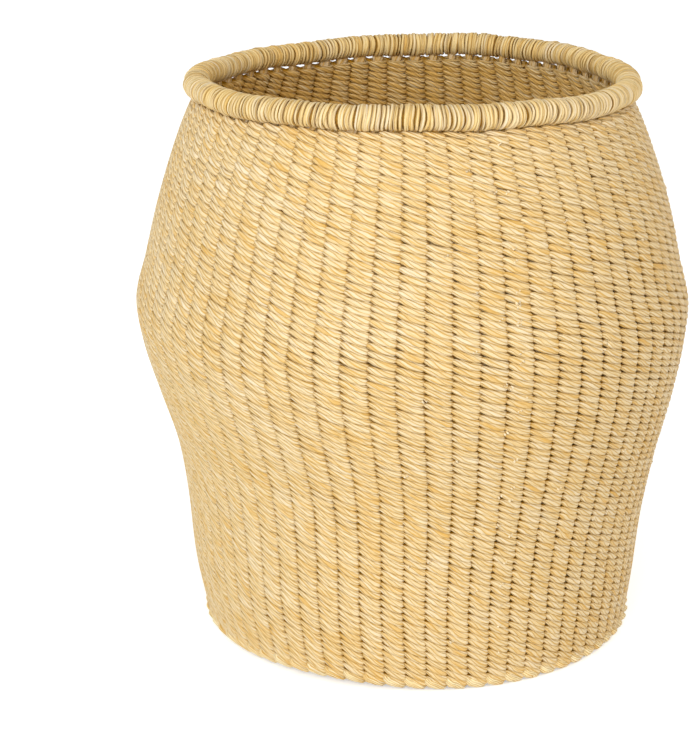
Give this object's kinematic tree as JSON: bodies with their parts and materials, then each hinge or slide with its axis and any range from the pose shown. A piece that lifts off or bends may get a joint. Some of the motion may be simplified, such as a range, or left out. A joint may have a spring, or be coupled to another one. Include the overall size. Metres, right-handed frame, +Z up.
{
  "type": "bolga basket",
  "caption": "tall straw basket with a round belly, drawn in to an open neck; stakes run under the base and up into a bound rim, held by twined straw",
  "frame": {"origin": "on the floor under the middle of the base", "axes": "+Z up along the basket's own axis; X and Y lie along the two layers of stakes that cross under the base"},
  "size_m": [0.4426, 0.4426, 0.45],
  "materials": {
    "wall_straw": "matt golden straw, twined",
    "inner_straw": "matt straw, darker inside",
    "stake_straw": "matt pale straw bundles",
    "foot_straw": "matt tawny straw, heavy twined strands",
    "rim_straw": "pale straw strip, wound"
  },
  "bodies": {
    "root": {"added_stake_01": "stake_straw", "added_stake_02": "stake_straw", "added_stake_03": "stake_straw", "added_stake_04": "stake_straw", "added_stake_05": "stake_straw", "added_stake_06": "stake_straw", "added_stake_07": "stake_straw", "added_stake_08": "stake_straw", "added_stake_09": "stake_straw", "added_stake_10": "stake_straw", "added_stake_11": "stake_straw", "added_stake_12": "stake_straw", "added_stake_13": "stake_straw", "added_stake_14": "stake_straw", "added_stake_15": "stake_straw", "added_stake_16": "stake_straw", "added_stake_17": "stake_straw", "added_stake_18": "stake_straw", "added_stake_19": "stake_straw", "added_stake_20": "stake_straw", "added_stake_21": "stake_straw", "added_stake_22": "stake_straw", "added_stake_23": "stake_straw", "added_stake_24": "stake_straw", "base_weft_inside": "inner_straw", "base_weft_outside": "wall_straw", "crossing_stake_01": "stake_straw", "crossing_stake_02": "stake_straw", "crossing_stake_03": "stake_straw", "crossing_stake_04": "stake_straw", "crossing_stake_05": "stake_straw", "crossing_stake_06": "stake_straw", "crossing_stake_07": "stake_straw", "crossing_stake_08": "stake_straw", "crossing_stake_09": "stake_straw", "crossing_stake_10": "stake_straw", "crossing_stake_11": "stake_straw", "crossing_stake_12": "stake_straw", "crossing_stake_13": "stake_straw", "crossing_stake_14": "stake_straw", "crossing_stake_15": "stake_straw", "crossing_stake_16": "stake_straw", "crossing_stake_17": "stake_straw", "crossing_stake_18": "stake_straw", "crossing_stake_19": "stake_straw", "crossing_stake_20": "stake_straw", "crossing_stake_21": "stake_straw", "crossing_stake_22": "stake_straw", "foot_strand_1": "foot_straw", "foot_strand_2": "foot_straw", "rim_binding": "rim_straw", "rim_core": "stake_straw", "wall_weft_inside": "inner_straw", "wall_weft_lower_outside": "wall_straw", "wall_weft_upper_outside": "wall_straw"}
  },
  "joints": []
}
